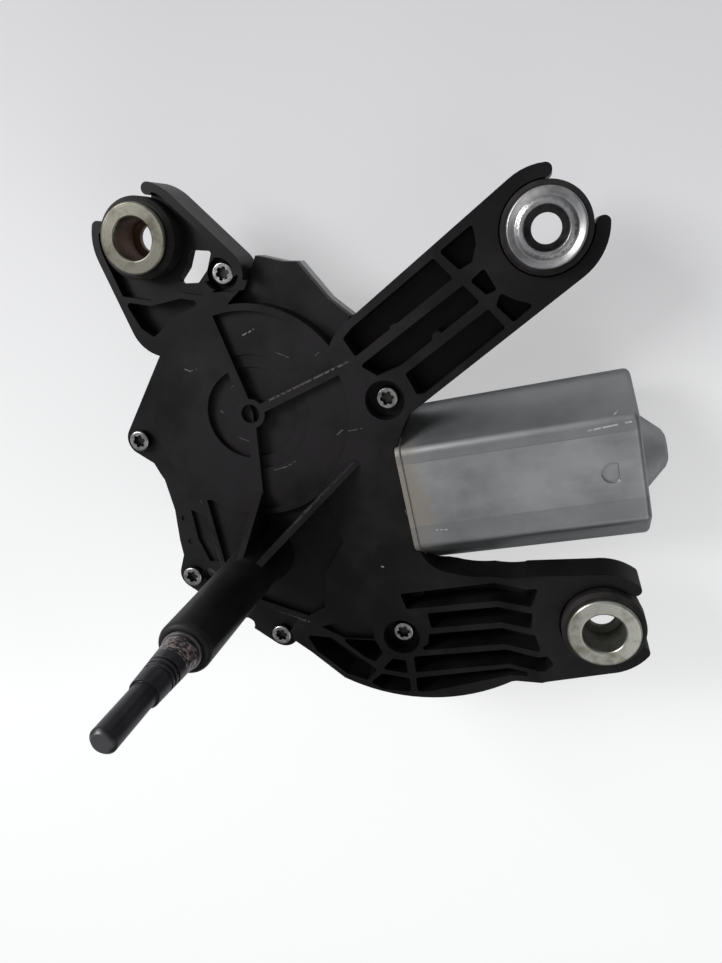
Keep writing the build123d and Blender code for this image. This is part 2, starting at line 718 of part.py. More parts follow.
# Worm wheel with its teeth at the worm's lead angle, a web with ribs and a boss for the crank pin
lead = pi * wheel_module
lead_angle = degrees(atan2(lead, 2 * pi * worm_pitch_r))
wheel_root_r = wheel_pitch_r - 1.25 * wheel_module
tooth_half = pi * wheel_module / 4 - 0.25
tooth_slope = tan(radians(20)) * wheel_module
wheel_hub_r = 7.5
rim_thick = 3.4
with BuildPart() as blade:
    with BuildSketch(
        Plane(
            origin=(wheel_x + wheel_pitch_r, wheel_y, worm_z),
            x_dir=(1, 0, 0),
            z_dir=(0, sin(radians(lead_angle)), cos(radians(lead_angle))),
        )
    ):
        Polygon(
            (-1.25 * wheel_module - 0.4, -tooth_half - 1.25 * tooth_slope),
            (wheel_module, -tooth_half + tooth_slope),
            (wheel_module, tooth_half - tooth_slope),
            (-1.25 * wheel_module - 0.4, tooth_half + 1.25 * tooth_slope),
            align=None,
        )
    extrude(amount=wheel_thick / 2 + 2, both=True)

with BuildPart() as worm_wheel:
    with BuildSketch(Plane.XY.offset(wheel_low)):
        with Locations(wheel_axis):
            Circle(wheel_root_r)
    extrude(amount=wheel_thick)
    with BuildSketch(Plane.XY.offset(wheel_low)):
        with Locations(wheel_axis):
            Circle(wheel_root_r - rim_thick)
            Circle(wheel_hub_r, mode=Mode.SUBTRACT)
            with PolarLocations((wheel_root_r - rim_thick) / 2 + 2, 6):
                Rectangle(wheel_root_r - rim_thick, 2.4, mode=Mode.SUBTRACT)
    extrude(amount=2.6, mode=Mode.SUBTRACT)
    with BuildSketch(Plane.XY.offset(wheel_top)):
        with Locations(wheel_axis):
            Circle(wheel_root_r - rim_thick)
            Circle(wheel_hub_r, mode=Mode.SUBTRACT)
            with PolarLocations((wheel_root_r - rim_thick) / 2 + 2, 6):
                Rectangle(wheel_root_r - rim_thick, 2.4, mode=Mode.SUBTRACT)
        with Locations(crank_spot):
            Circle(crank_pin_d / 2 + 2.2, mode=Mode.SUBTRACT)
    extrude(amount=-2.6, mode=Mode.SUBTRACT)
    about_wheel = Axis((wheel_x, wheel_y, 0), (0, 0, 1))
    add([blade.part.rotate(about_wheel, 360 / wheel_teeth * number) for number in range(wheel_teeth)])
    with BuildSketch(Plane.XY.offset(wheel_low)):
        with Locations(wheel_axis):
            Circle(wheel_pitch_r + wheel_module)
            Circle(wheel_axle_d / 2 + running_gap, mode=Mode.SUBTRACT)
    extrude(amount=wheel_thick, mode=Mode.INTERSECT)
    with BuildSketch(Plane.XY.offset(wheel_top)):
        with Locations(crank_spot):
            Circle(crank_pin_d / 2)
    extrude(amount=-wheel_thick + 1.5, mode=Mode.SUBTRACT)
finish(worm_wheel, "worm_wheel")

with BuildPart() as crank_pin:
    with BuildSketch(Plane.XY.offset(wheel_low + 1.5)):
        with Locations(crank_spot):
            Circle(crank_pin_d / 2)
    extrude(amount=link_low - small_gap - wheel_low - 1.5)
finish(crank_pin, "crank_pin")

# Back case
floor_z = wheel_low - 5.6
chamber_r = wheel_pitch_r + wheel_module + 1.0
axle_seat_z = floor_z - 6.0
tunnel_r = worm_tip_r + 1.2
shelf_z = link_low - 0.9
tunnel_left = wheel_x - worm_length / 2 - 9.0
tunnel_length = worm_length + 18.0
foot_depth = 3.0
skirt_z = rest_z + foot_depth
boss_r = screw_d / 2 + 2.4


neck_start = can_mouth_x - neck_length
tail_seat = 1.5
with BuildPart() as back_case:
    with BuildSketch(Plane.XY.offset(case_top_z)):
        add(body_outline.sketch)
    extrude(amount=-(case_top_z - shelf_z) - case_wall)
    with BuildSketch(Plane.XY.offset(case_top_z)):
        with Locations(wheel_axis):
            Circle(chamber_r + case_wall)
    extrude(amount=-(case_top_z - skirt_z))
    with BuildSketch(motor_plane(tunnel_left - case_wall)):
        Circle(tunnel_r + case_wall)
        with Locations((0, tunnel_r / 2)):
            Rectangle(2 * (tunnel_r + case_wall), tunnel_r)
    extrude(amount=neck_start - tunnel_left + case_wall + 2)
    with BuildSketch(motor_plane(neck_start)):
        add(motor_section(0.4))
    extrude(amount=can_mouth_x - neck_start)
    with BuildSketch(Plane.XY.offset(case_top_z)):
        with Locations(*screw_spots):
            Circle(boss_r)
    extrude(amount=-screw_length - 1)
    # nothing of the case stands above its joint with the housing
    with BuildSketch(Plane.XY.offset(case_top_z)):
        with Locations((30, 30)):
            Rectangle(400, 400)
    extrude(amount=60, mode=Mode.SUBTRACT)
    with BuildSketch(Plane.XY.offset(floor_z)):
        with Locations(wheel_axis):
            Circle(chamber_r)
    extrude(amount=case_top_z - floor_z, mode=Mode.SUBTRACT)
    with BuildSketch(Plane.XY.offset(shelf_z)):
        add(gear_room)
    extrude(amount=case_top_z - shelf_z, mode=Mode.SUBTRACT)
    with BuildSketch(motor_plane(tunnel_left)):
        Circle(tunnel_r)
    extrude(amount=tunnel_length, mode=Mode.SUBTRACT)
    with BuildSketch(Plane.XY.offset(worm_z)):
        with Locations((tunnel_left + tunnel_length / 2, worm_y)):
            Rectangle(tunnel_length, 2 * tunnel_r)
    extrude(amount=case_top_z - worm_z, mode=Mode.SUBTRACT)
    # hollow neck that the can closes, open under the brush plate
    with BuildSketch(motor_plane(neck_start + case_wall)):
        add(can_section(-case_wall))
    extrude(amount=can_mouth_x, mode=Mode.SUBTRACT)
    with BuildSketch(motor_plane(can_mouth_x)):
        add(motor_section(0.6 + small_gap))
    extrude(amount=can_length, mode=Mode.SUBTRACT)
    # ribs, foot ring and axle boss under the floor
    with BuildSketch(Plane.XY.offset(skirt_z)):
        with Locations(wheel_axis):
            Circle(chamber_r - 0.5)
            Circle(10.5, mode=Mode.SUBTRACT)
            with PolarLocations(chamber_r / 2, 8, start_angle=22.5):
                Rectangle(chamber_r, 2.4, mode=Mode.SUBTRACT)
    extrude(amount=floor_z - case_wall - skirt_z, mode=Mode.SUBTRACT)
    with BuildSketch(Plane.XY.offset(rest_z)):
        with Locations(wheel_axis):
            Circle(9)
    extrude(amount=floor_z - rest_z + 4)
    # bores: axle, worm shaft bearings and screw threads
    with BuildSketch(Plane.XY.offset(axle_seat_z)):
        with Locations(wheel_axis):
            Circle(wheel_axle_d / 2)
    extrude(amount=20, mode=Mode.SUBTRACT)
    with BuildSketch(motor_plane(tunnel_left - tail_seat)):
        Circle(shaft_d / 2 + 2.0)
    extrude(amount=neck_start + 40, mode=Mode.SUBTRACT)
    with BuildSketch(motor_plane(can_mouth_x)):
        with Locations((lug_across, lug_up), (-lug_across, lug_up)):
            Circle(can_screw_d / 2)
    extrude(amount=-11.0, mode=Mode.SUBTRACT)
    with BuildSketch(Plane.XY.offset(case_top_z)):
        with Locations(*screw_spots):
            Circle(screw_d / 2)
    extrude(amount=-screw_length + 1, mode=Mode.SUBTRACT)
finish(back_case, "back_case")

with BuildPart() as gasket:
    with BuildSketch(Plane.XY.offset(case_top_z)):
        add(body_outline.sketch)
        add(gear_room, mode=Mode.SUBTRACT)
        with Locations(*screw_spots):
            Circle(screw_d / 2 + 0.3, mode=Mode.SUBTRACT)
        with Locations(*flange_notches):
            Circle(flange_notch_r, mode=Mode.SUBTRACT)
    extrude(amount=gasket_thick)
    with BuildSketch(motor_plane(can_mouth_x)):
        add(motor_section(0.6 + small_gap))
    extrude(amount=can_length, mode=Mode.SUBTRACT)
finish(gasket, "case_gasket")

with BuildPart() as axle:
    with BuildSketch(Plane.XY.offset(axle_seat_z)):
        with Locations(wheel_axis):
            Circle(wheel_axle_d / 2)
    extrude(amount=wheel_top + 1.6 - axle_seat_z)
finish(axle, "wheel_axle")

with BuildPart() as axle_clip:
    with BuildSketch(Plane.XY.offset(wheel_top + 0.3)):
        with Locations(wheel_axis):
            Circle(wheel_axle_d / 2 + 1.4)
            Circle(wheel_axle_d / 2, mode=Mode.SUBTRACT)
    extrude(amount=0.8)
finish(axle_clip, "axle_clip")

# Armature: shaft with its worm, laminated core, windings and commutator
shaft_start = tunnel_left - 0.6
shaft_end = can_mouth_x + can_length + nose_length - 4.0
worm_start = wheel_x - worm_length / 2
thread_half = pi * wheel_module / 4 - 0.55
worm_root_r = worm_pitch_r - 1.25 * wheel_module
trial = Helix(lead, lead, worm_root_r, direction=(1, 0, 0))
start_turn = degrees(atan2((trial @ 0).Z, (trial @ 0).Y))
thread_start = wheel_x + lead * (0.5 + start_turn / 360 - round((worm_length / 2 - 1) / lead))
with BuildPart() as armature_shaft:
    with BuildLine() as lead_line:
        Helix(
            lead,
            2 * (wheel_x - thread_start),
            worm_root_r - 0.2,
            center=(thread_start, worm_y, worm_z),
            direction=(1, 0, 0),
        )
    thread_foot = lead_line.line @ 0
    outward = thread_foot - Vector(thread_foot.X, worm_y, worm_z)
    with BuildSketch(Plane(origin=thread_foot, x_dir=outward, z_dir=lead_line.line % 0)):
        Polygon(
            (0, -thread_half - tooth_slope),
            (2.25 * wheel_module + 0.2, -thread_half + tooth_slope),
            (2.25 * wheel_module + 0.2, thread_half - tooth_slope),
            (0, thread_half + tooth_slope),
            align=None,
        )
    sweep(path=lead_line.line, is_frenet=True)
    with BuildSketch(motor_plane(shaft_start)):
        Circle(shaft_d / 2)
    extrude(amount=shaft_end - shaft_start)
    with BuildSketch(motor_plane(worm_start - 2)):
        Circle(worm_root_r)
    extrude(amount=worm_length + 4)
finish(armature_shaft, "armature_shaft")

core_gap = 0.6
slot_open = 2.2
tooth_tip = 2.4
with BuildPart() as armature_core:
    with BuildSketch(motor_plane(core_start)):
        Circle(core_d / 2)
        Circle(shaft_d / 2, mode=Mode.SUBTRACT)
        with PolarLocations(core_d / 2 - 1, core_slots):
            Rectangle(4, slot_open, mode=Mode.SUBTRACT)
        with PolarLocations(core_d / 2 - 6.2, core_slots):
            SlotOverall(7.6, 4.6, mode=Mode.SUBTRACT)
    extrude(amount=core_length)
finish(armature_core, "armature_core")

coil_end = 7.0
with BuildPart() as windings:
    for x, length in ((core_start - coil_end, coil_end), (core_start + core_length, coil_end)):
        with BuildSketch(motor_plane(x)):
            Circle(core_d / 2 - tooth_tip - 0.5)
            Circle(shaft_d / 2 + 1.4, mode=Mode.SUBTRACT)
        extrude(amount=length)
    fillet(windings.edges().filter_by(GeomType.CIRCLE).group_by(SortBy.RADIUS)[-1], 2.0)
    with BuildSketch(motor_plane(core_start)):
        with Locations((0, 0)):
            with PolarLocations(core_d / 2 - 6.2, core_slots):
                SlotOverall(7.4, 4.4)
    extrude(amount=core_length)
finish(windings, "armature_windings")

commutator_x = core_start - coil_end - 1.5 - commutator_length
with BuildPart() as commutator:
    with BuildSketch(motor_plane(commutator_x)):
        Circle(commutator_d / 2)
        Circle(shaft_d / 2, mode=Mode.SUBTRACT)
        with PolarLocations(commutator_d / 2, commutator_bars):
            Rectangle(2.4, 0.7, mode=Mode.SUBTRACT)
    extrude(amount=commutator_length)
finish(commutator, "commutator")

# Motor can with its nose, magnets, bearings and brush gear
can_end_x = can_mouth_x + can_length
bearing_length = 5.0
bearing_d = 9.0
with BuildPart() as motor_can:
    with BuildSketch(motor_plane(can_mouth_x)):
        add(can_section(0))
    extrude(amount=can_length)
    fillet(motor_can.faces().sort_by(Axis.X)[-1].edges(), 2.2)
    with BuildSketch(Plane(origin=(can_end_x - 1, worm_y, worm_z), x_dir=(1, 0, 0), z_dir=(0, -1, 0))):
        Polygon(
            (0, 0), (0, nose_base_d / 2), (1.0, nose_base_d / 2), (nose_length, nose_tip_d / 2 + 1.2),
            (nose_length + 1, nose_tip_d / 2 - 0.8), (nose_length + 1, 0), align=None,
        )
    revolve(axis=Axis((0, worm_y, worm_z), (1, 0, 0)))
    with BuildSketch(motor_plane(can_mouth_x)):
        add(can_section(-can_wall))
    extrude(amount=can_length - can_wall, mode=Mode.SUBTRACT)
    with BuildSketch(motor_plane(can_end_x - can_wall - 0.5)):
        Circle(bearing_d / 2)
    extrude(amount=nose_length - 1.0, mode=Mode.SUBTRACT)
    # flange with a lug each side, for the screws into the case's neck
    with BuildSketch(motor_plane(can_mouth_x)):
        add(motor_section(0.6))
        add(can_section(-can_wall), mode=Mode.SUBTRACT)
        with Locations((lug_across, lug_up), (-lug_across, lug_up)):
            Circle(can_screw_d / 2 + 0.25, mode=Mode.SUBTRACT)
    extrude(amount=2.0)
    # dimple pressed into the flat near the closed end
    with BuildSketch(Plane.XY.offset(worm_z + can_height / 2)):
        with Locations((can_end_x - 11.0, worm_y)):
            Circle(3.6)
            with Locations((3.6, 0)):
                Rectangle(3, 8, mode=Mode.SUBTRACT)
    extrude(amount=-1.1, mode=Mode.SUBTRACT)
finish(motor_can, "motor_can")

with BuildPart() as can_screws:
    for side in (1, -1):
        with BuildSketch(motor_plane(can_mouth_x + 2)):
            with Locations((side * lug_across, lug_up)):
                Circle(3.6)
        extrude(amount=2.4)
        with BuildSketch(motor_plane(can_mouth_x + 2)):
            with Locations((side * lug_across, lug_up)):
                Circle(can_screw_d / 2)
        extrude(amount=-11.0)
finish(can_screws, "can_screws")

with BuildPart() as magnets:
    with BuildSketch(motor_plane(core_start - 4)):
        add(can_section(-can_wall - 0.2))
        Circle(core_d / 2 + core_gap, mode=Mode.SUBTRACT)
        half_cut = sin(radians(magnet_span / 2)) * (core_d / 2 + core_gap)
        with Locations((0, can_height / 2), (0, -can_height / 2)):
            Rectangle(can_width, can_height - 2 * half_cut, mode=Mode.SUBTRACT)
        Rectangle(2 * (core_d / 2 + core_gap) * cos(radians(magnet_span / 2)), can_height, mode=Mode.SUBTRACT)
    extrude(amount=core_length + 8)
finish(magnets, "field_magnets")

with BuildPart() as rear_bearing:
    with BuildSketch(motor_plane(can_end_x - can_wall - 0.5 + nose_length - 1.0 - bearing_length)):
        Circle(bearing_d / 2)
        Circle(shaft_d / 2 + running_gap, mode=Mode.SUBTRACT)
    extrude(amount=bearing_length)
finish(rear_bearing, "rear_bearing")

with BuildPart() as front_bearing:
    with BuildSketch(motor_plane(tunnel_left + tunnel_length + 1)):
        Circle(shaft_d / 2 + 2.0)
        Circle(shaft_d / 2 + running_gap, mode=Mode.SUBTRACT)
    extrude(amount=12.0)
finish(front_bearing, "front_bearing")

with BuildPart() as tail_bearing:
    with BuildSketch(motor_plane(tunnel_left - tail_seat)):
        Circle(shaft_d / 2 + 2.0)
    extrude(amount=tail_seat + 5.0)
    with BuildSketch(motor_plane(shaft_start - 0.1)):
        Circle(shaft_d / 2 + running_gap)
    extrude(amount=20, mode=Mode.SUBTRACT)
finish(tail_bearing, "tail_bearing")

plate_start = can_mouth_x + small_gap
plate_thick = 3.0
brush_wide = 6.0
brush_high = 5.0
brush_length = 9.0
box_wall = 1.4
box_end = commutator_d / 2 + 14.0
brush_x = commutator_x + commutator_length / 2
brush_inner = commutator_d / 2 + small_gap
with BuildPart() as brush_plate:
    with BuildSketch(motor_plane(plate_start)):
        add(can_section(-can_wall - 0.1))
        Circle(commutator_d / 2 + 1.5, mode=Mode.SUBTRACT)
    extrude(amount=plate_thick)
    for side in (1, -1):
        with BuildSketch(Plane(origin=(brush_x, worm_y + side * box_end, worm_z), x_dir=(1, 0, 0), z_dir=(0, -side, 0))):
            Rectangle(brush_wide + 2 * box_wall, brush_high + 2 * box_wall)
        extrude(amount=box_end - commutator_d / 2 - 2.0)
        with BuildSketch(Plane(origin=(0, worm_y + side * box_end, worm_z), x_dir=(1, 0, 0), z_dir=(0, -side, 0))):
            with Locations(((plate_start + brush_x) / 2, 0)):
                Rectangle(brush_x - plate_start, brush_high)
        extrude(amount=box_end - commutator_d / 2 - 2.0)
        with BuildSketch(
            Plane(origin=(brush_x, worm_y + side * (box_end - box_wall), worm_z), x_dir=(1, 0, 0), z_dir=(0, -side, 0))
        ):
            Rectangle(brush_wide + 0.2, brush_high + 0.2)
        extrude(amount=box_end, mode=Mode.SUBTRACT)
finish(brush_plate, "brush_plate")

with BuildPart() as brushes:
    for side in (1, -1):
        with BuildSketch(
            Plane(origin=(brush_x, worm_y + side * brush_inner, worm_z), x_dir=(1, 0, 0), z_dir=(0, side, 0))
        ):
            Rectangle(brush_wide, brush_high)
        extrude(amount=brush_length)
    chamfer(brushes.edges().filter_by(Axis.X), 0.5)
finish(brushes, "carbon_brushes")

spring_wire = 0.7
spring_start = brush_inner + brush_length
spring_end = box_end - box_wall
spring_turns = 3
with BuildPart() as brush_springs:
    for side in (1, -1):
        with BuildLine() as coil:
            Helix(
                (spring_end - spring_start - spring_wire) / spring_turns,
                spring_end - spring_start - spring_wire,
                1.8,
                center=(brush_x, worm_y + side * (spring_start + spring_wire / 2), worm_z),
                direction=(0, side, 0),
            )
        with BuildSketch(Plane(origin=coil.line @ 0, z_dir=coil.line % 0)):
            RegularPolygon(spring_wire / 2, 6)
        sweep(path=coil.line, is_frenet=True)
finish(brush_springs, "brush_springs")

# Park switch: a brass disc under the wheel, and leaf contacts on a moulded carrier
disc_thick = 0.8
with BuildPart() as park_disc:
    with BuildSketch(Plane.XY.offset(wheel_low - disc_thick)):
        with Locations(wheel_axis):
            Circle(wheel_root_r - rim_thick - 0.6)
            Circle(13, mode=Mode.SUBTRACT)
        Polygon(
            wheel_axis, polar(60, 192, wheel_axis), polar(60, 214, wheel_axis), align=None, mode=Mode.SUBTRACT
        )
    extrude(amount=disc_thick)
finish(park_disc, "park_disc")

carrier_thick = 2.0
leaf_radii = (17.0, 22.0, 27.0)
leaf_angle = 150.0
leaf_width = 3.0
with BuildPart() as carrier:
    with BuildSketch(Plane.XY.offset(floor_z)):
        with Locations(wheel_axis):
            Circle(chamber_r - 4)
            Circle(12.5, mode=Mode.SUBTRACT)
        Polygon(
            wheel_axis, polar(90, 195, wheel_axis), polar(90, 260, wheel_axis), polar(90, 330, wheel_axis),
            polar(90, 30, wheel_axis), polar(90, 105, wheel_axis), align=None, mode=Mode.SUBTRACT,
        )
    extrude(amount=carrier_thick)
finish(carrier, "contact_carrier")

leaf_low = floor_z + carrier_thick
leaf_top = wheel_low - disc_thick - small_gap
with BuildPart() as leaves:
    for radius in leaf_radii:
        spot = polar(radius, leaf_angle, wheel_axis)
        out = (*polar(1, leaf_angle + 90), 0)
        side = (*polar(1, leaf_angle), 0)
        with BuildSketch(Plane(origin=(spot[0], spot[1], leaf_low), x_dir=out, z_dir=side)) as leaf:
            Polygon(
                (-7, 0), (-3, 0), (3.2, leaf_top - leaf_low - 0.5), (4.6, leaf_top - leaf_low - 0.5),
                (4.6, leaf_top - leaf_low), (2.8, leaf_top - leaf_low), (-3.4, 0.6), (-7, 0.6), align=None,
            )
        extrude(amount=leaf_width / 2, both=True)
finish(leaves, "contact_springs")

# Connector under the lower arm, out of sight from the front
shroud_top = shelf_z - case_wall
shroud_size = (30.0, 40.0, 16.0)
shroud_spot = (27.0, -38.0)
shroud_wall = 2.0
socket_depth = 20.0
shroud_front = shroud_spot[1] - shroud_size[1] / 2
with BuildPart() as shroud:
    with BuildSketch(Plane.XY.offset(shroud_top)):
        with Locations(shroud_spot):
            RectangleRounded(shroud_size[0], shroud_size[1], 2.5)
    extrude(amount=-shroud_size[2])
    with BuildSketch(
        Plane(
            origin=(shroud_spot[0], shroud_front, shroud_top - shroud_size[2] / 2), x_dir=(1, 0, 0), z_dir=(0, -1, 0)
        )
    ):
        RectangleRounded(shroud_size[0] - 2 * shroud_wall, shroud_size[2] - 2 * shroud_wall, 1.5)
    extrude(amount=-socket_depth, mode=Mode.SUBTRACT)
    with BuildSketch(
        Plane(origin=(shroud_spot[0], 0, shroud_top - shroud_size[2] / 2), x_dir=(1, 0, 0), z_dir=(0, -1, 0))
    ):
        with GridLocations(6.0, 1, 4, 1):
            Rectangle(2.8, 0.8)
    extrude(amount=60, mode=Mode.SUBTRACT)
finish(shroud, "connector_shroud")

with BuildPart() as terminals:
    with BuildSketch(
        Plane(
            origin=(shroud_spot[0], shroud_front + 6, shroud_top - shroud_size[2] / 2), x_dir=(1, 0, 0), z_dir=(0, -1, 0)
        )
    ):
        with GridLocations(6.0, 1, 4, 1):
            Rectangle(2.8, 0.8)
    extrude(amount=6 - shroud_size[1])
finish(terminals, "connector_terminals")

# Mounting eyes: rubber grommet and flanged steel bush, one set in each fork
bore_r = bush_bore_d / 2
flange_r = bush_flange_d / 2
tube_r = bush_tube_d / 2
low_bore_r = bush_low_bore_d / 2
lip_r = grommet_d / 2
eye_names = ("left", "top", "lower")
for eye_name, (spot, facing, flange_z) in zip(eye_names, eye_specs):
    side_view = Plane(origin=(spot[0], spot[1], flange_z), x_dir=(1, 0, 0), z_dir=(0, -1, 0))
    eye_axis = Axis((spot[0], spot[1], 0), (0, 0, 1))
    if eye_name == "top":
        crown = [(bore_r, 0.4), (bore_r + 0.9, 0.4), (bore_r + 2.6, -0.9), (flange_r - 1.8, -0.5), (flange_r - 0.5, 0)]
    else:
        crown = [(bore_r, -0.5), (bore_r + 0.5, 0), (flange_r - 0.5, 0)]
    with BuildPart() as mount_bush:
        with BuildSketch(side_view):
            Polygon(
                *crown,
                (flange_r, -0.5),
                (flange_r, -bush_flange_thick),
                (tube_r, -bush_flange_thick),
                (tube_r, -mount_bush_length),
                (low_bore_r, -mount_bush_length),
                (low_bore_r, 2.2 - mount_bush_length),
                (bore_r, 2.2 - mount_bush_length),
                align=None,
            )
        revolve(axis=eye_axis)
    finish(mount_bush, f"{eye_name}_bush")
    groove_top = -bush_flange_thick - groove_drop
    with BuildPart() as grommet:
        with BuildSketch(side_view):
            Polygon(
                (tube_r, -bush_flange_thick),
                (lip_r - 1.2, -bush_flange_thick),
                (lip_r, -bush_flange_thick - 1.4),
                (lip_r, groove_top),
                (grommet_web_d / 2, groove_top),
                (grommet_web_d / 2, groove_top - fork_plate),
                (lip_r - 0.6, groove_top - fork_plate),
                (lip_r - 0.6, 1.2 - mount_bush_length),
                (lip_r - 1.6, 0.5 - mount_bush_length),
                (tube_r, 0.5 - mount_bush_length),
                align=None,
            )
        revolve(axis=eye_axis)
    finish(grommet, f"{eye_name}_grommet")

# Six case screws, with a six-lobed recess in each head
recess_d = 5.0
with BuildPart() as case_screws:
    with BuildSketch(Plane.XY.offset(seat_z)):
        with Locations(*screw_spots):
            Circle(screw_head_d / 2)
    extrude(amount=screw_head_height)
    fillet(case_screws.faces().group_by(Axis.Z)[-1].edges(), 0.8)
    with BuildSketch(Plane.XY.offset(seat_z + screw_head_height)):
        for spot in screw_spots:
            with Locations(spot):
                Circle(recess_d / 2 - 0.6)
                with PolarLocations(recess_d / 2 - 0.7, 6):
                    Circle(0.75)
    extrude(amount=-2.0, mode=Mode.SUBTRACT)
    with BuildSketch(Plane.XY.offset(seat_z)):
        with Locations(*screw_spots):
            Circle(screw_d / 2)
    extrude(amount=case_top_z - screw_length + 4 - seat_z)
finish(case_screws, "case_screws")
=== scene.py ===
import bpy
import json
from math import radians
from mathutils import Matrix, Vector


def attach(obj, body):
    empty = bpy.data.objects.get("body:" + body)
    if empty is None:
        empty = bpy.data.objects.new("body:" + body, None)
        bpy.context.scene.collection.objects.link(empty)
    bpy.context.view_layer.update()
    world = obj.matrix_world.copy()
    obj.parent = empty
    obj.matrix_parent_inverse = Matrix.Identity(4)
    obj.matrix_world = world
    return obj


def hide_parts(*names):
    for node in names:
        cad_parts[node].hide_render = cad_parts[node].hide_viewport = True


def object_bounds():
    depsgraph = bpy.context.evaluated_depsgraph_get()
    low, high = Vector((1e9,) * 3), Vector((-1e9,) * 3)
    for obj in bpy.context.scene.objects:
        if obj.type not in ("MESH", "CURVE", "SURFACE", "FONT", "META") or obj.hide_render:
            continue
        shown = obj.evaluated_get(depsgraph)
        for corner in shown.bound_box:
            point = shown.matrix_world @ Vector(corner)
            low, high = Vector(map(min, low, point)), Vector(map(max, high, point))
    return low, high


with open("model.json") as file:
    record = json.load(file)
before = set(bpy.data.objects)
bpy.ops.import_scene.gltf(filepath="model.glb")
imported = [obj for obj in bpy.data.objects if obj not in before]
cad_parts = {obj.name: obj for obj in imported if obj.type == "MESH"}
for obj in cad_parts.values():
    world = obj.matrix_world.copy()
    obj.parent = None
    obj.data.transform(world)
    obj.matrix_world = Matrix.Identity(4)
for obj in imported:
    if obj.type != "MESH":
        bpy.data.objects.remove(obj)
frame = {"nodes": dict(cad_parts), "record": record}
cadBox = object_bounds()
scene = bpy.context.scene
scene.view_settings.view_transform = 'Standard'
bpy.ops.object.select_all(action='DESELECT')
print('frame loaded:', len(frame["nodes"]), 'nodes')

# camera, as the photograph was taken, with the lens and the sensor in millimetres
cameraView = {
    'place': Vector((0.12414, 0.09648, 0.1605)),
    'right': Vector((0.9492, -0.2156, -0.2292)),
    'up': Vector((0.1400, 0.9416, -0.3061)),
    'lens': 37.396,
    'sensor': 36.0,
    'nearest': 0.01,
}
right = cameraView['right'].normalized()
back = right.cross(cameraView['up']).normalized()
up = back.cross(right)
cameraData = bpy.data.cameras.new('camera')
cameraData.sensor_fit = 'HORIZONTAL'
cameraData.sensor_width = cameraView['sensor']
cameraData.lens = cameraView['lens']
cameraData.clip_start = cameraView['nearest']
camera = bpy.data.objects.new('camera', cameraData)
scene.collection.objects.link(camera)
turn = Matrix((right, up, back)).transposed().to_4x4()
camera.matrix_world = Matrix.Translation(cameraView['place']) @ turn
scene.camera = camera
print('camera placed')


# a wire is a value in a node tree, and an expression on wires adds Math nodes
class Wire:
    def __init__(self, tree, socket):
        self.tree = tree
        self.socket = socket

    def maths(self, operation, other, flipped=False):
        node = self.tree.nodes.new('ShaderNodeMath')
        node.operation = operation
        mine, theirs = (1, 0) if flipped else (0, 1)
        self.tree.links.new(self.socket, node.inputs[mine])
        if isinstance(other, Wire):
            self.tree.links.new(other.socket, node.inputs[theirs])
        else:
            node.inputs[theirs].default_value = other
        return Wire(self.tree, node.outputs[0])

    def __add__(self, other):
        return self.maths('ADD', other)

    def __radd__(self, other):
        return self.maths('ADD', other, True)

    def __sub__(self, other):
        return self.maths('SUBTRACT', other)

    def __rsub__(self, other):
        return self.maths('SUBTRACT', other, True)

    def __mul__(self, other):
        return self.maths('MULTIPLY', other)

    def __rmul__(self, other):
        return self.maths('MULTIPLY', other, True)

    def __gt__(self, other):
        return self.maths('GREATER_THAN', other)

    def __lt__(self, other):
        return self.maths('LESS_THAN', other)


def blend(first, second, share):
    return first * share + second * (1 - share)


class Wiring:
    def __init__(self, tree):
        self.tree = tree

    def node(self, kind, settings=None, values=None, out=0):
        made = self.tree.nodes.new('ShaderNode' + kind)
        for name, value in (settings or {}).items():
            if name == 'stops':
                ramp = made.color_ramp.elements
                for stop, (spot, tone) in zip(ramp, value):
                    stop.position = spot
                    stop.color = (tone, tone, tone, 1)
            else:
                setattr(made, name, value)
        for name, value in (values or {}).items():
            if isinstance(value, Wire):
                self.tree.links.new(value.socket, made.inputs[name])
            else:
                made.inputs[name].default_value = value
        return Wire(self.tree, made.outputs[out])


perMetre = 1000  # millimetres


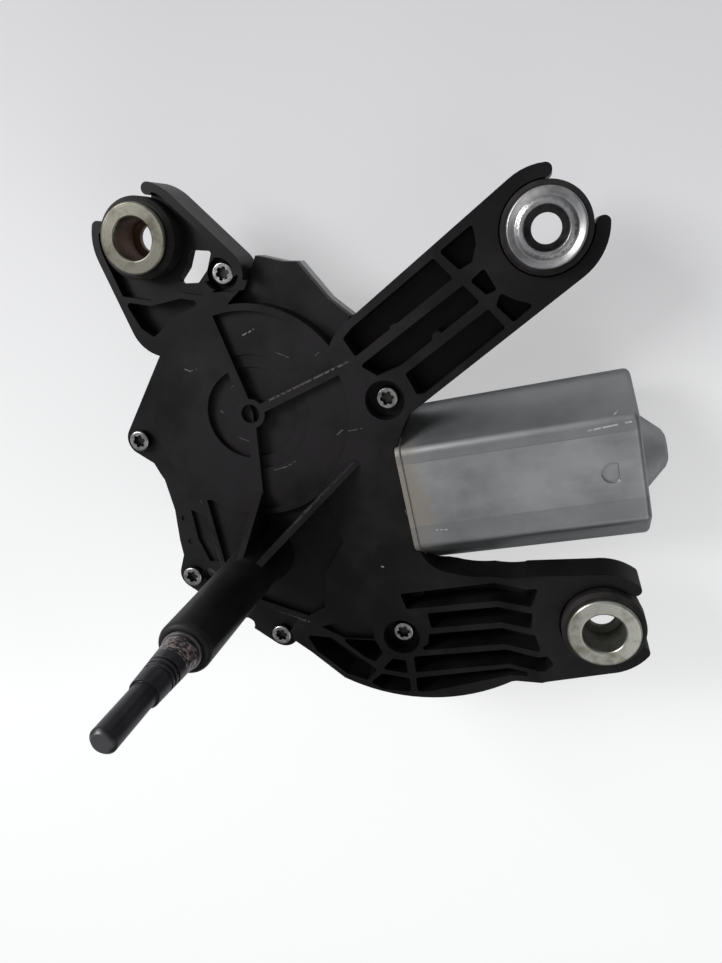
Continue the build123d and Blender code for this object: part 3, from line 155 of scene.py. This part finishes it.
# a noise is given as scale, detail, roughness and stretch, a ramp as two pairs of spot and tone,
# and a relief as the strength and the depth of the bump
class Finish(Wiring):
    def __init__(self, name, **fixed):
        self.material = bpy.data.materials.new(name)
        self.material.use_nodes = True
        super().__init__(self.material.node_tree)
        self.shader = self.tree.nodes['Principled BSDF']
        for socket, value in fixed.items():
            self.shader.inputs[socket.replace('_', ' ')].default_value = value
        self.place = self.node('TexCoord', out='Object')

    def noise(self, scale, detail=2.0, rough=0.5, stretch=None):
        place = self.place
        if stretch:
            place = self.node('Mapping', values={'Vector': place, 'Scale': stretch})
        values = {'Vector': place, 'Scale': scale, 'Detail': detail, 'Roughness': rough}
        return self.node('TexNoise', values=values)

    def ramp(self, value, *stops):
        return self.node('ValToRGB', {'stops': stops}, {'Fac': value})

    def mix(self, share, first, second):
        return self.node('Mix', {'data_type': 'RGBA'}, {0: share, 6: first, 7: second}, out=2)

    def axis(self, name):
        return self.node('SeparateXYZ', values={0: self.place}, out=name)

    # the place on the flat, counted from a spot
    def flatFrom(self, x, y):
        values = {'Vector': self.place, 'Scale': (1, 1, 0), 'Location': (-x, -y, 0)}
        return self.node('Mapping', values=values)

    def distance(self, centre):
        flat = self.flatFrom(centre[0], centre[1])
        return self.node('VectorMath', {'operation': 'LENGTH'}, {0: flat}, out='Value')

    # a mask for a line between two spots on the flat, all in millimetres
    def stroke(self, start, end, width):
        along = Vector((end[0] - start[0], end[1] - start[1], 0)) / perMetre
        flat = self.flatFrom(start[0] / perMetre, start[1] / perMetre)
        reach = along / along.length_squared
        share = self.node('VectorMath', {'operation': 'DOT_PRODUCT'}, {0: flat, 1: reach}, out='Value')
        share = self.node('Clamp', values={'Value': share})
        foot = self.node('VectorMath', {'operation': 'SCALE'}, {0: along, 'Scale': share})
        gap = self.node('VectorMath', {'operation': 'DISTANCE'}, {0: flat, 1: foot}, out='Value')
        return gap < width / perMetre

    def strokes(self, lines):
        marks = self.stroke(*lines[0])
        for line in lines[1:]:
            marks = marks + self.stroke(*line)
        return marks

    def put(self, **parts):
        for socket, value in parts.items():
            self.tree.links.new(value.socket, self.shader.inputs[socket.replace('_', ' ')])
        return self

    def bump(self, height, strength, depth):
        normal = self.node('Bump', values={'Height': height, 'Strength': strength, 'Distance': depth})
        return self.put(Normal=normal)


# black mouldings
mouldingLook = {
    'specular': 0.22,
    'mottle': (70, 4, 0.6),
    'smudge': (19, 3, 0.55),
    'mottleShare': 0.5,
    'tones': ((0.38, 0), (0.62, 1)),
    'sheen': (26, 5, 0.65),
    'rough': {'least': 0.24, 'sheen': 0.24, 'smudge': 0.14},
    'grain': (2600, 2),
    'relief': (0.16, 0.00012),
}
# marks on the housing, painted highlights along rib tops, edges and ring steps and clouds of dust: each
# line is its start, its end and its width in millimetres
housingHighlightsAndDust = {
    'breaks': (900, 2),
    'breakTones': ((0.38, 0), (0.52, 1)),
    # painted highlights: pale strokes along rib edges, ring steps and the flange edge
    'edgeHighlightTone': (0.22, 0.21, 0.20, 1),
    'edgeHighlights': [
        ((13.0, 85.3), (17.9, 86.5), 0.26), ((23.4, 77.1), (28.2, 74.1), 0.16),
        ((-12.1, 77.6), (-10.1, 76.4), 0.22), ((-10.1, 76.4), (-7.7, 76.8), 0.26),
        ((3.3, 67.0), (4.5, 68.1), 0.22), ((-3.5, 59.3), (-2.5, 58.5), 0.30),
        ((0.3, 48.5), (4.9, 45.7), 0.18), ((12.0, 33.2), (16.7, 33.7), 0.24),
        ((16.7, 33.7), (20.8, 35.2), 0.26), ((39.6, 42.7), (42.1, 44.2), 0.24),
        ((43.7, 43.9), (50.2, 44.1), 0.14), ((38.4, 72.8), (40.0, 73.7), 0.16),
        ((-34.4, 51.4), (-32.4, 45.7), 0.22), ((46.0, -10.5), (46.5, -10.7), 0.36),
        ((18.0, 60.4), (50.5, 68.6), 0.34),
    ],
    # painted highlights: paler strokes along the gusset, crown strip and fence rib tops
    'ridgeHighlightTone': (0.060, 0.056, 0.060, 1),
    'ridgeHighlights': [
        ((19.0, 14.6), (44.2, 32.0), 0.42), ((-8.5, -22.0), (10.7, -30.6), 0.45),
        ((-25.1, 24.1), (-21.3, 19.3), 0.4), ((-21.3, 19.3), (-20.3, -2.7), 0.4),
        ((59.6, 10.9), (65.0, -8.2), 0.3),
    ],
    'dust': (0.0190, 0.0165, 0.0180, 1),
    'dustClouds': (13, 4, 0.6),
    'cloudShare': 0.7,
    'dustTones': ((0.46, 0), (0.60, 0.7)),
}


def mouldedPlastic(name, dark, light, marks=None):
    look = mouldingLook
    rough = look['rough']
    finish = Finish(name, Specular_IOR_Level=look['specular'])
    mottle = finish.noise(*look['mottle'])
    smudge = finish.noise(*look['smudge'])
    tones = finish.ramp(blend(mottle, smudge, look['mottleShare']), *look['tones'])
    colour = finish.mix(tones, dark, light)
    sheen = finish.noise(*look['sheen']) * rough['sheen'] + smudge * rough['smudge'] + rough['least']
    if marks:
        broken = finish.ramp(finish.noise(*marks['breaks']), *marks['breakTones'])
        # painted highlights along edges and ring steps, broken up by noise
        colour = finish.mix(finish.strokes(marks['edgeHighlights']) * broken, colour, marks['edgeHighlightTone'])
        # painted highlights along rib tops, broken up by noise
        colour = finish.mix(finish.strokes(marks['ridgeHighlights']) * broken, colour, marks['ridgeHighlightTone'])
        clouds = blend(finish.noise(*marks['dustClouds']), mottle, marks['cloudShare'])
        colour = finish.mix(finish.ramp(clouds, *marks['dustTones']), colour, marks['dust'])
    grain = finish.noise(*look['grain'])
    return finish.put(Base_Color=colour, Roughness=sheen).bump(grain, *look['relief']).material


plasticLooks = {
    'housing': {
        'name': 'blackMoulding',
        'dark': (0.0034, 0.0030, 0.0036, 1),
        'light': (0.0080, 0.0072, 0.0080, 1),
        'marks': housingHighlightsAndDust,
    },
    'dark_plastic': {
        'name': 'shroudMoulding',
        'dark': (0.008, 0.008, 0.009, 1),
        'light': (0.016, 0.016, 0.017, 1),
    },
    'gasket': {
        'name': 'gasketSheet',
        'dark': (0.010, 0.010, 0.010, 1),
        'light': (0.024, 0.022, 0.020, 1),
    },
}

# grommets
rubberLook = {
    'dark': (0.009, 0.008, 0.008, 1),
    'light': (0.026, 0.023, 0.021, 1),
    'specular': 0.3,
    'cloud': (180, 4, 0.65),
    'tones': ((0.34, 0), (0.7, 1)),
    'rough': {'least': 0.5, 'cloud': 0.3},
    'grain': (1900, 3),
    'relief': (0.3, 0.0002),
}


def rubberMoulding():
    look = rubberLook
    rough = look['rough']
    finish = Finish('grommetRubber', Specular_IOR_Level=look['specular'])
    cloud = finish.noise(*look['cloud'])
    colour = finish.mix(finish.ramp(cloud, *look['tones']), look['dark'], look['light'])
    finish.put(Base_Color=colour, Roughness=cloud * rough['cloud'] + rough['least'])
    return finish.bump(finish.noise(*look['grain']), *look['relief']).material


# plain metals and the other materials inside
satinLook = {
    'cloud': (55, 5, 0.6),
    'fine': (420, 2, 0.5),
    'cloudShare': 0.6,
    'tones': ((0.36, 0), (0.64, 1)),
    'grain': (1500, 2, 0.5),
    'relief': (0.12, 0.0001),
}
satinLooks = {
    'back_case': {
        'name': 'caseAlloy',
        'dark': (0.30, 0.30, 0.30, 1), 'light': (0.50, 0.50, 0.49, 1), 'rough': 0.38, 'spread': 0.22,
    },
    'steel': {
        'name': 'machinedSteel',
        'dark': (0.36, 0.36, 0.37, 1), 'light': (0.56, 0.56, 0.56, 1), 'rough': 0.26,
    },
    'screw_zinc': {
        'name': 'brightZinc',
        'dark': (0.52, 0.52, 0.53, 1), 'light': (0.78, 0.78, 0.78, 1), 'rough': 0.22,
    },
    'bronze': {
        'name': 'oiledBronze',
        'dark': (0.30, 0.19, 0.09, 1), 'light': (0.48, 0.32, 0.17, 1), 'rough': 0.36,
    },
    'brass': {
        'name': 'stampedBrass',
        'dark': (0.46, 0.33, 0.12, 1), 'light': (0.66, 0.50, 0.22, 1), 'rough': 0.24,
    },
    'copper': {
        'name': 'lacqueredCopper', 'streak': (0.1, 1, 1),
        'dark': (0.38, 0.13, 0.05, 1), 'light': (0.62, 0.26, 0.12, 1), 'rough': 0.28,
    },
    'nylon': {
        'name': 'naturalNylon', 'metallic': 0.0,
        'dark': (0.60, 0.57, 0.47, 1), 'light': (0.74, 0.71, 0.61, 1), 'rough': 0.42,
    },
    'ferrite': {
        'name': 'darkFerrite', 'metallic': 0.1,
        'dark': (0.012, 0.012, 0.013, 1), 'light': (0.030, 0.030, 0.032, 1), 'rough': 0.55,
    },
    'carbon': {
        'name': 'pressedCarbon', 'metallic': 0.2,
        'dark': (0.010, 0.010, 0.010, 1), 'light': (0.024, 0.023, 0.022, 1), 'rough': 0.5,
    },
    'lamination': {
        'name': 'stackedSheet', 'streak': (12, 1, 1),
        'dark': (0.10, 0.10, 0.11, 1), 'light': (0.24, 0.24, 0.25, 1), 'rough': 0.35,
    },
}


def satinMetal(name, dark, light, rough, spread=0.16, streak=(1, 1, 1), metallic=1.0):
    look = satinLook
    finish = Finish(name, Metallic=metallic)
    cloud = finish.noise(*look['cloud'])
    fine = finish.noise(*look['fine'], streak)
    tones = finish.ramp(blend(cloud, fine, look['cloudShare']), *look['tones'])
    finish.put(Base_Color=finish.mix(tones, dark, light), Roughness=fine * spread + rough)
    return finish.bump(finish.noise(*look['grain'], streak), *look['relief']).material


# turned bushes, each with rings about its own centre and a darker bore: rust in the left bush, painted
# shade in the lower and top bushes
turnedLook = {
    'rings': {'Scale': 5200, 'Detail': 2.0},
    'ringTones': ((0.3, 0), (0.7, 1)),
    'cloud': (150, 4, 0.6),
    'stainTones': ((0.46, 0), (0.66, 0.85)),
    'boreRadius': 0.0074,
    'boreDepth': 0.0012,
    'boreStain': {'least': 0.55, 'cloud': 0.5},
    'rough': {'least': 0.20, 'rings': 0.16, 'cloud': 0.16, 'bore': 0.2},
    'ringDepth': 0.0001,
}
bushLooks = {
    'left_bush': {
        'name': 'yellowZincLeft',
        'centre': (-0.0150, 0.1261, -0.0915),
        'dark': (0.13, 0.125, 0.105, 1),
        'light': (0.25, 0.245, 0.20, 1),
        'stain': (0.075, 0.066, 0.048, 1),
        'bore': (0.20, 0.12, 0.09, 1),
        'groove': 0.16,
    },
    'lower_bush': {
        'name': 'yellowZincLower',
        'centre': (0.1236, -0.0392, -0.0835),
        'dark': (0.40, 0.40, 0.35, 1),
        'light': (0.68, 0.68, 0.61, 1),
        'stain': (0.26, 0.25, 0.19, 1),
        # painted shade in the bore
        'bore': (0.16, 0.16, 0.14, 1),
        'groove': 0.12,
    },
    'top_bush': {
        'name': 'brightTurned',
        'centre': (0.1242, 0.0980, -0.0915),
        'dark': (0.40, 0.40, 0.40, 1),
        'light': (0.56, 0.56, 0.56, 1),
        'stain': (0.30, 0.29, 0.29, 1),
        # painted shade in the bore
        'bore': (0.045, 0.042, 0.042, 1),
        'groove': 0.02,
    },
}


def turnedBush(name, centre, dark, light, stain, bore, groove):
    look = turnedLook
    rough = look['rough']
    finish = Finish(name, Metallic=1.0)
    radius = finish.distance(centre)
    rings = finish.node('TexNoise', {'noise_dimensions': '1D'}, {'W': radius, **look['rings']})
    cloud = finish.noise(*look['cloud'])
    colour = finish.mix(finish.ramp(rings, *look['ringTones']), dark, light)
    colour = finish.mix(finish.ramp(cloud, *look['stainTones']), colour, stain)
    inBore = (radius < look['boreRadius']) * (finish.axis('Z') < centre[2] - look['boreDepth'])
    rustAndShade = cloud * look['boreStain']['cloud'] + look['boreStain']['least']
    # darker bore: rust in the left bush, painted shade in the lower and top bushes
    colour = finish.mix(inBore * rustAndShade, colour, bore)
    sheen = rings * rough['rings'] + cloud * rough['cloud'] + inBore * rough['bore'] + rough['least']
    return finish.put(Base_Color=colour, Roughness=sheen).bump(rings, groove, look['ringDepth']).material


# motor can: stained near its mouth, with painted shade along its rounded flanks and its crease lines, and
# with scuffs
canLook = {
    'dark': (0.29, 0.295, 0.295, 1),
    'light': (0.46, 0.47, 0.47, 1),
    'metallic': 0.85,
    'cloud': (34, 5, 0.6),
    'streak': (240, 3, 0.6, (0.2, 1, 1)),
    'cloudShare': 0.8,
    'tones': ((0.36, 0), (0.64, 1)),
    'mouth': 0.0605,
    'stained': 0.0205,
    'stainEdge': 0.016,
    'stainFade': 130,
    'stainTones': ((0.0, 0), (0.9, 0.85)),
    'grime': (0.36, 0.325, 0.28, 1),
    'flankShade': {'upper': 0.0290, 'lower': 0.0048, 'waver': 0.001, 'share': 0.5},
    # painted shade, on the rounded flanks and along the crease lines
    'band': (0.25, 0.26, 0.265, 1),
    # painted shade along the crease lines between the flat and the flanks
    'creaseShadeLines': [((66, 28.5), (141, 28.5), 0.18), ((98, 4.3), (141, 4.3), 0.14)],
    'creaseShadeShare': 0.6,
    'scuffs': [
        ((128, 30.6), (142, 31.4), 0.30), ((137, 34.4), (138.4, 35.2), 0.2), ((70, 2.0), (74, 1.6), 0.2),
    ],
    'scuff': (0.72, 0.72, 0.72, 1),
    'breaks': (700, 2),
    'breakTones': ((0.42, 0), (0.5, 1)),
    'rough': {'least': 0.33, 'cloud': 0.16, 'streak': 0.05, 'grime': 0.2},
    'dents': {'cloud': 0.6, 'streak': 0.2},
    'relief': (0.12, 0.0003),
}


def canSteel():
    look = canLook
    flankShade, rough, dents = look['flankShade'], look['rough'], look['dents']
    finish = Finish('canSteel', Metallic=look['metallic'])
    cloud = finish.noise(*look['cloud'])
    streak = finish.noise(*look['streak'])
    tones = finish.ramp(blend(cloud, streak, look['cloudShare']), *look['tones'])
    colour = finish.mix(tones, look['dark'], look['light'])
    edge = finish.axis('X') + cloud * look['stainEdge']
    reach = (look['mouth'] + look['stained'] - edge) * look['stainFade']
    grime = finish.ramp(reach, *look['stainTones'])
    colour = finish.mix(grime, colour, look['grime'])
    across = finish.axis('Y') + cloud * flankShade['waver']
    # painted shade on the rounded flanks above and below the flat
    shadedFlanks = (across > flankShade['upper']) + (across < flankShade['lower'])
    colour = finish.mix(shadedFlanks * flankShade['share'], colour, look['band'])
    # painted shade along the crease lines
    colour = finish.mix(finish.strokes(look['creaseShadeLines']) * look['creaseShadeShare'], colour, look['band'])
    broken = finish.ramp(finish.noise(*look['breaks']), *look['breakTones'])
    colour = finish.mix(finish.strokes(look['scuffs']) * broken, colour, look['scuff'])
    sheen = cloud * rough['cloud'] + streak * rough['streak'] + grime * rough['grime'] + rough['least']
    height = cloud * dents['cloud'] + streak * dents['streak']
    return finish.put(Base_Color=colour, Roughness=sheen).bump(height, *look['relief']).material


# case screws, with painted shade inside the drive of the head
screwLook = {
    'dark': (0.30, 0.30, 0.30, 1),
    'light': (0.52, 0.52, 0.51, 1),
    'recess': (0.035, 0.032, 0.028, 1),
    'recessShare': 0.92,
    'rim': -0.1018,
    'cloud': (520, 4, 0.6),
    'tones': ((0.4, 0), (0.62, 1)),
    'rough': {'least': 0.22, 'cloud': 0.2},
    'relief': (0.14, 0.0001),
}


def headedScrew():
    look = screwLook
    rough = look['rough']
    finish = Finish('zincScrew', Metallic=1.0)
    cloud = finish.noise(*look['cloud'])
    colour = finish.mix(finish.ramp(cloud, *look['tones']), look['dark'], look['light'])
    # painted shade inside the drive of the head
    shadedRecess = finish.axis('Z') < look['rim']
    colour = finish.mix(shadedRecess * look['recessShare'], colour, look['recess'])
    finish.put(Base_Color=colour, Roughness=cloud * rough['cloud'] + rough['least'])
    return finish.bump(cloud, *look['relief']).material


# spindle, with a band worn bright above the sleeve and a painted highlight on its end face
spindleLook = {
    'dark': (0.013, 0.013, 0.015, 1),
    'light': (0.034, 0.033, 0.038, 1),
    'metallic': 0.35,
    'mottle': (90, 3),
    'tones': ((0.4, 0), (0.65, 1)),
    'cloud': (520, 5, 0.75, (1, 1, 2.4)),
    'worn': (0.44, 0.34, 0.33, 1),
    'wornFrom': -0.0206,
    'wornTo': -0.0150,
    'ragged': 0.002,
    'wornTones': ((0.50, 0), (0.56, 1)),
    # painted highlight on the end face
    'end': (0.085, 0.085, 0.090, 1),
    'highlightFrom': 0.0212,
    'highlightFade': 1400,
    'highlightTones': ((0, 0), (1, 1)),
    'rough': {'least': 0.26, 'cloud': 0.2},
    'relief': (0.1, 0.0001),
}


def spindleBlack():
    look = spindleLook
    rough = look['rough']
    finish = Finish('spindleBlack', Metallic=look['metallic'])
    height = finish.axis('Z')
    cloud = finish.noise(*look['cloud'])
    band = (height + cloud * look['ragged'] > look['wornFrom']) * (height < look['wornTo'])
    worn = band * finish.ramp(cloud, *look['wornTones'])
    # painted highlight, paler towards the top of the end face
    endHighlight = finish.ramp((height - look['highlightFrom']) * look['highlightFade'], *look['highlightTones'])
    tones = finish.ramp(finish.noise(*look['mottle']), *look['tones'])
    colour = finish.mix(tones, look['dark'], look['light'])
    colour = finish.mix(worn, colour, look['worn'])
    colour = finish.mix(endHighlight, colour, look['end'])
    finish.put(Base_Color=colour, Roughness=cloud * rough['cloud'] + rough['least'])
    return finish.bump(cloud, *look['relief']).material


# looks by material slot, and by node for the screws and the bushes
looks = {
    'can': canSteel(),
    'spindle': spindleBlack(),
    'rubber': rubberMoulding(),
    'case_screws': headedScrew(),
}
for maker, group in ((mouldedPlastic, plasticLooks), (satinMetal, satinLooks), (turnedBush, bushLooks)):
    for name, look in group.items():
        looks[name] = maker(**look)
slotOf = {part["node"]: part["material_slot"] for part in frame["record"]["subparts"]}
for name, node in frame["nodes"].items():
    look = looks.get(name) or looks[slotOf[name]]
    for slot in node.material_slots:
        slot.material = look
print('materials given to', len(slotOf), 'nodes')


def only(piece):
    bpy.ops.object.select_all(action='DESELECT')
    piece.select_set(True)
    bpy.context.view_layer.objects.active = piece


# pieces with rounded edges, made from merged copies of the CAD nodes: lengths in metres, angles in degrees
bodyOf = {node: body for body, nodes in frame["record"]["behaviour"]["bodies"].items() for node in nodes}
roundingLook = {'merge': 0.000002, 'flatten': 0.6, 'edge': 38, 'smooth': 34}
roundedEdges = {
    'gear_housing': {'width': 0.00045, 'segments': 2},
    'motor_can': {'width': 0.0004, 'segments': 2},
    'back_case': {'width': 0.0005, 'segments': 2},
    'connector_shroud': {'width': 0.0003, 'segments': 2},
    'case_screws': {'width': 0.00015, 'segments': 1},
    'output_spindle': {'width': 0.0002, 'segments': 2},
    'left_bush': {'width': 0.0002, 'segments': 2},
    'top_bush': {'width': 0.0002, 'segments': 2},
    'lower_bush': {'width': 0.0002, 'segments': 2},
}
for name, edge in roundedEdges.items():
    piece = bpy.data.objects.new(name + '_rounded', frame["nodes"][name].data.copy())
    scene.collection.objects.link(piece)
    only(piece)
    bpy.ops.object.mode_set(mode='EDIT')
    bpy.ops.mesh.select_all(action='SELECT')
    bpy.ops.mesh.remove_doubles(threshold=roundingLook['merge'])
    bpy.ops.mesh.dissolve_limited(angle_limit=radians(roundingLook['flatten']))
    bpy.ops.object.mode_set(mode='OBJECT')
    rounding = piece.modifiers.new('rounding', 'BEVEL')
    rounding.width = edge['width']
    rounding.segments = edge['segments']
    rounding.limit_method = 'ANGLE'
    rounding.angle_limit = radians(roundingLook['edge'])
    bpy.ops.object.modifier_apply(modifier='rounding')
    bpy.ops.object.shade_smooth_by_angle(angle=radians(roundingLook['smooth']))
    evening = piece.modifiers.new('evening', 'WEIGHTED_NORMAL')
    evening.keep_sharp = True
    bpy.ops.object.modifier_apply(modifier='evening')
    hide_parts(name)
    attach(piece, bodyOf[name])
    print('rounded', name, len(piece.data.polygons), 'faces')

# floor, brighter towards the camera's foot: its slope of brightness runs along both axes, with clouds
floorLook = {
    'middle': (0.05, 0.05),
    'height': cadBox[0].z - 0.0004,
    'size': 4.0,
    'colour': (0.78, 0.785, 0.79, 1),
    'rough': 0.9,
    'slope': {'y': -2.9, 'x': -0.5, 'clouds': 0.5, 'start': 0.28},
    'clouds': (3.0, 2),
    'tones': ((0.0, 0), (1.0, 1)),
    'far': (0.60, 0.59, 0.615, 1),
    'near': (1.45, 1.46, 1.445, 1),
    'share': 0.46,
}
floorPlace = (*floorLook['middle'], floorLook['height'])
bpy.ops.mesh.primitive_plane_add(size=floorLook['size'], location=floorPlace)
floor = bpy.context.object
floor.name = 'floor'
floorFinish = Finish('paleFloor', Base_Color=floorLook['colour'], Roughness=floorLook['rough'])
slope = floorLook['slope']
rise = floorFinish.axis('Y') * slope['y'] + floorFinish.axis('X') * slope['x']
rise = rise + floorFinish.noise(*floorLook['clouds']) * slope['clouds'] + slope['start']
shade = floorFinish.mix(floorFinish.ramp(rise, *floorLook['tones']), floorLook['far'], floorLook['near'])
glow = floorFinish.node('Emission', values={'Color': shade, 'Strength': 1.0})
plain = Wire(floorFinish.tree, floorFinish.shader.outputs[0])
seen = floorFinish.node('LightPath', out='Is Camera Ray') * floorLook['share']
surface = floorFinish.node('MixShader', values={0: seen, 1: plain, 2: glow})
floorFinish.tree.links.new(surface.socket, floorFinish.tree.nodes['Material Output'].inputs['Surface'])
floor.data.materials.append(floorFinish.material)
print('floor laid')

# room, brighter to the upper left, and pale where the camera sees it
roomLook = {
    'towards': (-0.55, 0.50, 0.67),
    'dimmest': -0.3,
    'dim': 0.10,
    'bright': 0.85,
    'tint': (0.95, 0.96, 1.0, 1),
    'strength': 0.52,
    'shown': 0.86,
}
world = bpy.data.worlds.new('softRoom')
scene.world = world
world.use_nodes = True
room = Wiring(world.node_tree)
outward = room.node('TexCoord', out='Generated')
aims = {0: outward, 1: roomLook['towards']}
facing = room.node('VectorMath', {'operation': 'DOT_PRODUCT'}, aims, out='Value')
level = room.node('MapRange', values={
    'Value': facing,
    'From Min': roomLook['dimmest'],
    'From Max': 1.0,
    'To Min': roomLook['dim'],
    'To Max': roomLook['bright'],
}) * roomLook['strength']
direct = room.node('LightPath', out='Is Camera Ray')
shown = room.node('Mix', values={0: direct, 2: level, 3: roomLook['shown']})
backdrop = world.node_tree.nodes['Background']
backdrop.inputs['Color'].default_value = roomLook['tint']
world.node_tree.links.new(shown.socket, backdrop.inputs['Strength'])

# lamps: size in metres, all aimed at one spot in the housing
lampAim = Vector((0.05, 0.04, -0.09))
lamps = {
    'windowLight': {'place': (-0.60, 0.62, 0.62), 'size': 0.45, 'watts': 8.5},
    'roomLight': {'place': (0.60, -0.75, 0.75), 'size': 1.0, 'watts': 3.0},
}
for name, lamp in lamps.items():
    bpy.ops.object.light_add(type='AREA', location=lamp['place'])
    light = bpy.context.object
    light.name = name
    light.data.size = lamp['size']
    light.data.energy = lamp['watts']
    aim = lampAim - Vector(lamp['place'])
    light.rotation_euler = aim.to_track_quat('-Z', 'Y').to_euler()
print('room and lamps placed')
